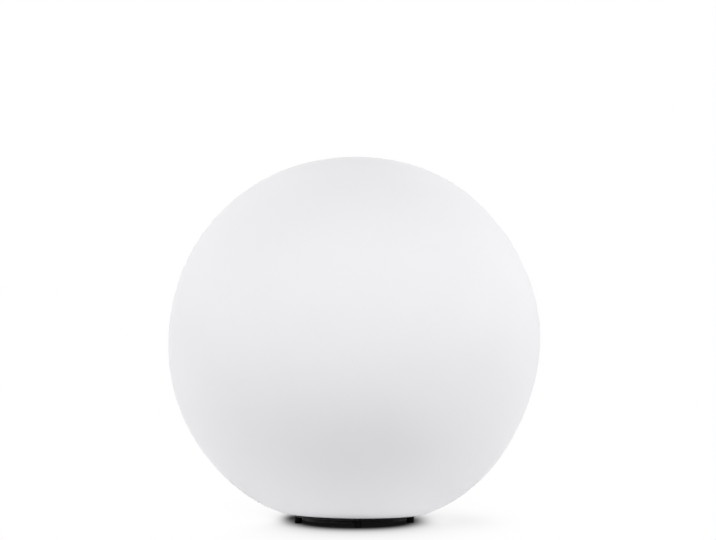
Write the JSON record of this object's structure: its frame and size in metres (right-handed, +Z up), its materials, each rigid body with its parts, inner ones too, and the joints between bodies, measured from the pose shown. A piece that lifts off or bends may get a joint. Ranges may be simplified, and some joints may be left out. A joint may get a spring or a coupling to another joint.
{
  "type": "garden globe light",
  "caption": "Large opal white globe garden light on a low black base with rubber feet, a bayonet neck and a replaceable LED bulb in a screw lampholder.",
  "frame": {"origin": "on the ground under the centre of the globe, level with the undersides of the four feet", "axes": "+Z up along the globe's axis; the front is towards -Y; +X to the right seen from the front"},
  "size_m": [0.4, 0.3998, 0.3949],
  "materials": {
    "opal_globe": "satin",
    "black_base": "satin",
    "foot_rubber": "matte",
    "seal_rubber": "matte",
    "gland_plastic": "satin",
    "bracket_steel": "zinc plated",
    "screw_steel": "zinc plated",
    "brass": "turned",
    "holder_black": "satin",
    "ceramic": "matte",
    "contact_bronze": "rolled",
    "nickel": "satin nickel plate",
    "bulb_white": "satin",
    "bulb_opal": "satin",
    "board_white": "satin",
    "board_green": "satin",
    "led_yellow": "satin",
    "component_black": "satin",
    "block_white": "satin",
    "lead_brown": "satin",
    "lead_blue": "satin"
  },
  "bodies": {
    "root": {"base_housing": "black_base", "base_deck": "black_base", "socket_tube": "black_base", "foot_front": "foot_rubber", "foot_right": "foot_rubber", "foot_back": "foot_rubber", "foot_left": "foot_rubber", "gland_body": "gland_plastic", "gland_washer": "seal_rubber", "gland_seal": "seal_rubber", "gland_dome_nut": "gland_plastic", "gland_locknut": "gland_plastic", "holder_bracket": "bracket_steel", "bracket_screws": "screw_steel", "threaded_nipple": "brass", "nipple_washer": "screw_steel", "nipple_nut": "screw_steel", "holder_cup": "holder_black", "holder_core": "ceramic", "holder_sleeve": "nickel", "holder_contact": "contact_bronze", "holder_ring": "holder_black", "terminal_block": "block_white", "terminal_tubes": "brass", "terminal_screws": "screw_steel", "block_screw": "screw_steel", "lead_live": "lead_brown", "lead_neutral": "lead_blue"},
    "globe_ring": {"globe_gasket": "seal_rubber"},
    "globe": {"globe_shell": "opal_globe"},
    "bulb_ring": {"bulb_seal": "seal_rubber"},
    "bulb": {"bulb_tip": "brass", "bulb_insulator": "component_black", "bulb_cap": "nickel", "bulb_housing": "bulb_white", "bulb_diffuser": "bulb_opal", "bulb_led_board": "board_white", "bulb_leds": "led_yellow", "bulb_driver_board": "board_green", "bulb_driver_parts": "component_black"}
  },
  "joints": [
    {"name": "globe_rise", "type": "slide", "parent": "root", "child": "globe_ring", "axis": [0, 0, 1], "range_m": [0, 0.00249]},
    {"name": "globe_turn", "type": "hinge", "parent": "globe_ring", "child": "globe", "pos_m": [0, 0, 0.0106], "axis": [0, 0, 1], "range_deg": [0, 64]},
    {"name": "bulb_rise", "type": "slide", "parent": "root", "child": "bulb_ring", "axis": [0, 0, 1], "range_m": [0, 0.01089]},
    {"name": "bulb_turn", "type": "hinge", "parent": "bulb_ring", "child": "bulb", "pos_m": [0, 0, 0.144], "axis": [0, 0, 1], "range_deg": [0, 1080]}
  ],
  "couplings": [
    {"joint": "globe_rise", "follows": "globe_turn", "m_per_rad": 0.0022282},
    {"joint": "bulb_rise", "follows": "bulb_turn", "m_per_rad": 0.00057757}
  ]
}
